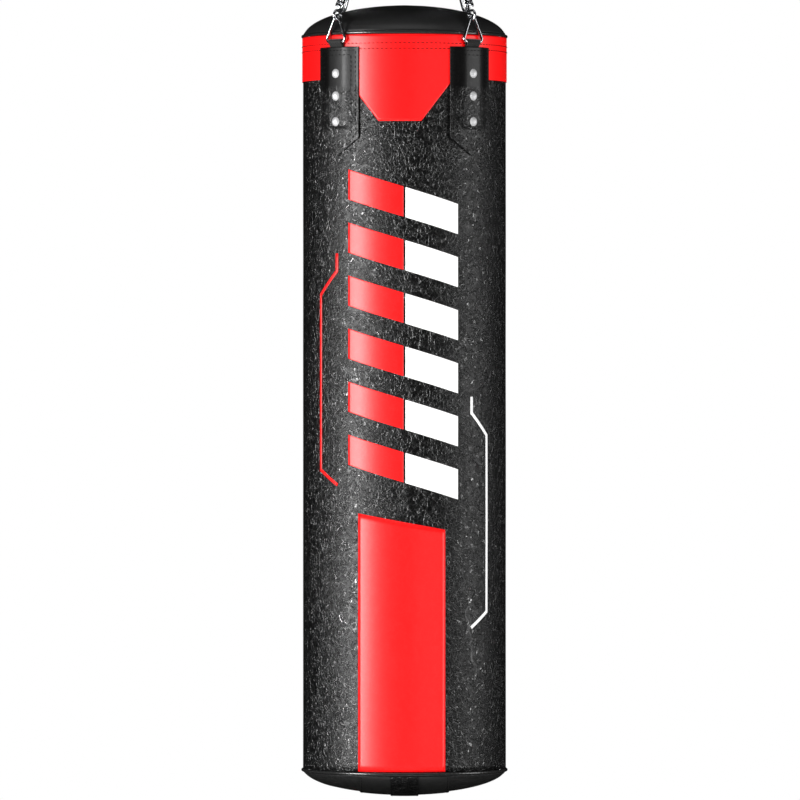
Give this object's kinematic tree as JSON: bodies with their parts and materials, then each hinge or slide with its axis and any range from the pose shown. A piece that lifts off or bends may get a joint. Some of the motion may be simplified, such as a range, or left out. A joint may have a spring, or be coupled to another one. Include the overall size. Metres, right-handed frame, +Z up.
{
  "type": "heavy punching bag",
  "caption": "Hanging cylindrical boxing bag with a leather shell, strap patches, a chain harness, a gather ring, a snap hook and a swivel eye.",
  "frame": {"origin": "centre of the swivel eye's bore, where the bag hangs", "axes": "+Z up along the bag's axis, +Y to the back of the bag and along the eye's bore, +X to the right seen from the front"},
  "size_m": [0.3186, 0.3186, 1.7332],
  "materials": {
    "chromed_wire": "polished",
    "forged_steel": "satin",
    "bronze_washer": "satin",
    "grained_black_leather": "satin",
    "smooth_black_leather": "satin",
    "smooth_red_leather": "satin",
    "black_webbing": "matte",
    "grey_foam": "matte",
    "cotton_sack": "matte",
    "textile_filling": "matte",
    "zip_coil": "satin"
  },
  "bodies": {
    "ceiling_eye": {"swivel_eye": "forged_steel", "swivel_washer": "bronze_washer", "swivel_nut": "forged_steel"},
    "yoke": {"swivel_yoke": "forged_steel"},
    "hook": {"snap_hook": "chromed_wire", "gate_pin": "forged_steel"},
    "gate": {"snap_gate": "chromed_wire", "gate_spring": "forged_steel", "gate_nose": "chromed_wire"},
    "bag": {"gather_ring": "chromed_wire", "chain_front_left": "chromed_wire", "chain_front_right": "chromed_wire", "chain_rear_right": "chromed_wire", "chain_rear_left": "chromed_wire", "s_hook_front_left": "chromed_wire", "s_hook_front_right": "chromed_wire", "s_hook_rear_right": "chromed_wire", "s_hook_rear_left": "chromed_wire", "triangle_front_left": "chromed_wire", "triangle_front_right": "chromed_wire", "triangle_rear_right": "chromed_wire", "triangle_rear_left": "chromed_wire", "webbing_front_left": "black_webbing", "webbing_front_right": "black_webbing", "webbing_rear_right": "black_webbing", "webbing_rear_left": "black_webbing", "patch_front_left": "smooth_black_leather", "patch_front_right": "smooth_black_leather", "patch_rear_right": "smooth_black_leather", "patch_rear_left": "smooth_black_leather", "rivets_front_left": "chromed_wire", "rivets_front_right": "chromed_wire", "rivets_rear_right": "chromed_wire", "rivets_rear_left": "chromed_wire", "rivet_washers": "forged_steel", "top_band": "smooth_red_leather", "outer_shell": "grained_black_leather", "back_seam_strip": "smooth_black_leather", "top_lid": "smooth_black_leather", "top_piping": "smooth_black_leather", "bottom_cap": "grained_black_leather", "bottom_piping": "smooth_black_leather", "bottom_panel": "smooth_black_leather", "bottom_strap": "grained_black_leather", "foam_liner": "grey_foam", "inner_sack": "cotton_sack", "filling": "textile_filling", "top_pad": "grey_foam", "bottom_pad": "grey_foam", "zip_tape": "black_webbing", "zip_teeth": "zip_coil", "zip_stops": "forged_steel"},
    "slider": {"zip_slider": "forged_steel"},
    "pull": {"zip_pull": "forged_steel"}
  },
  "joints": [
    {"name": "swivel_turn", "type": "hinge", "parent": "ceiling_eye", "child": "yoke", "pos_m": [0, 0, -0.0282], "axis": [0, 0, 1], "continuous": true},
    {"name": "hook_swing", "type": "hinge", "parent": "yoke", "child": "hook", "pos_m": [0, 0, -0.0694], "axis": [1, 0, 0], "range_deg": [-35, 35]},
    {"name": "bag_swing", "type": "hinge", "parent": "hook", "child": "bag", "pos_m": [0, 0, -0.1386], "axis": [0, 1, 0], "range_deg": [-35, 35]},
    {"name": "gate_opening", "type": "hinge", "parent": "hook", "child": "gate", "pos_m": [0, -0.014, -0.1184], "axis": [-1, 0, 0], "range_deg": [0, 25], "stiffness_Nm_per_rad": 0.1, "springref_deg": -20.05},
    {"name": "zip_travel", "type": "hinge", "parent": "bag", "child": "slider", "pos_m": [0, 0, -0.54894], "axis": [0, 0, 1], "range_deg": [0, 102]},
    {"name": "pull_flip", "type": "hinge", "parent": "slider", "child": "pull", "pos_m": [0.1062, 0.086, -0.51528], "axis": [0.6293, -0.7771, 0], "range_deg": [0, 150]}
  ]
}
